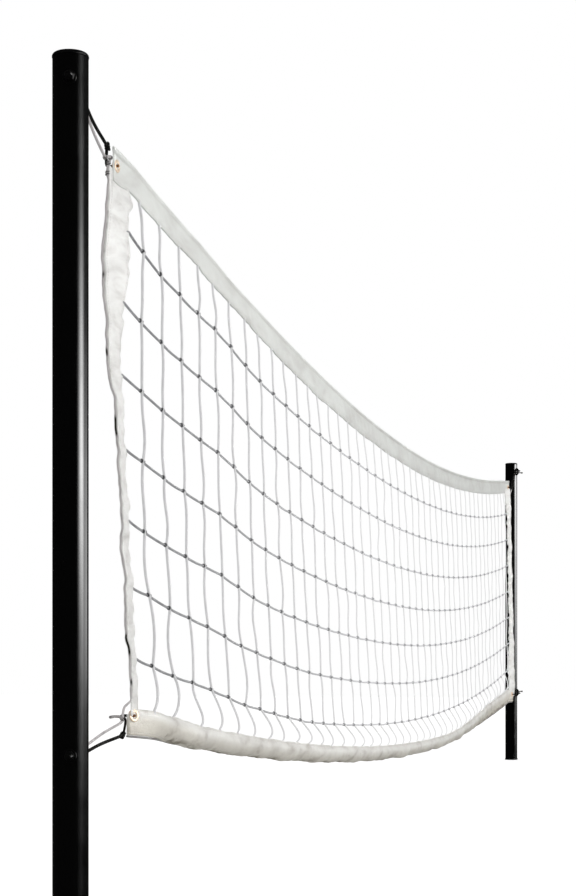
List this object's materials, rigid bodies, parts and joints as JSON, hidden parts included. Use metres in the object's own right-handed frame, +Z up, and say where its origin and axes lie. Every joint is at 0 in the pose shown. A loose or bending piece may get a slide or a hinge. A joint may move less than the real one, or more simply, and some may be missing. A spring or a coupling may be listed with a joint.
{
  "type": "pool volleyball net",
  "caption": "Pool volleyball net: a taped twine mesh hung between deck poles, tied at its corners to eye bolts through the poles.",
  "frame": {"origin": "centre of the near pole's foot, on the deck", "axes": "+X from the near pole to the far pole, +Z up the poles, the net hangs in the plane Y = 0"},
  "size_m": [5.2132, 0.0906, 1.2101],
  "materials": {
    "pole_black": "gloss black powder coat",
    "cap_black": "satin black plastic",
    "bolt_black": "blackened steel",
    "tape_white": "white vinyl tape, creased",
    "twine_grey": "grey knotted twine",
    "rope_grey": "grey braided rope",
    "brass": "pale polished brass",
    "tie_black": "black braided cord"
  },
  "bodies": {
    "poles": {"near_pole_tube": "pole_black", "near_pole_cap": "cap_black", "near_foot_plug": "cap_black", "near_upper_eye_bolt": "bolt_black", "near_upper_inner_washer": "bolt_black", "near_upper_outer_washer": "bolt_black", "near_upper_cap_nut": "bolt_black", "near_lower_eye_bolt": "bolt_black", "near_lower_inner_washer": "bolt_black", "near_lower_outer_washer": "bolt_black", "near_lower_cap_nut": "bolt_black", "far_pole_tube": "pole_black", "far_pole_cap": "cap_black", "far_foot_plug": "cap_black", "far_upper_eye_bolt": "bolt_black", "far_upper_inner_washer": "bolt_black", "far_upper_outer_washer": "bolt_black", "far_upper_cap_nut": "bolt_black", "far_lower_eye_bolt": "bolt_black", "far_lower_inner_washer": "bolt_black", "far_lower_outer_washer": "bolt_black", "far_lower_cap_nut": "bolt_black"},
    "net": {"net_mesh": "twine_grey", "head_tape": "tape_white", "foot_tape": "tape_white", "near_side_tape": "tape_white", "far_side_tape": "tape_white", "head_rope": "rope_grey", "foot_rope": "rope_grey", "near_side_cord": "rope_grey", "far_side_cord": "rope_grey", "near_top_eyelet": "brass", "near_top_ring": "brass", "near_bottom_eyelet": "brass", "near_bottom_ring": "brass", "far_top_eyelet": "brass", "far_top_ring": "brass", "far_bottom_eyelet": "brass", "far_bottom_ring": "brass", "near_top_tie": "tie_black", "near_bottom_tie": "tie_black", "far_top_tie": "tie_black", "far_bottom_tie": "tie_black"}
  },
  "joints": [
    {"name": "net_swing", "type": "hinge", "parent": "poles", "child": "net", "pos_m": [0.187, 0, 1.1098], "axis": [1, 0, 0], "range_deg": [-2, 2], "deforming": ["near_top_tie", "near_bottom_tie", "far_top_tie", "far_bottom_tie", "near_side_cord", "far_side_cord"]}
  ]
}
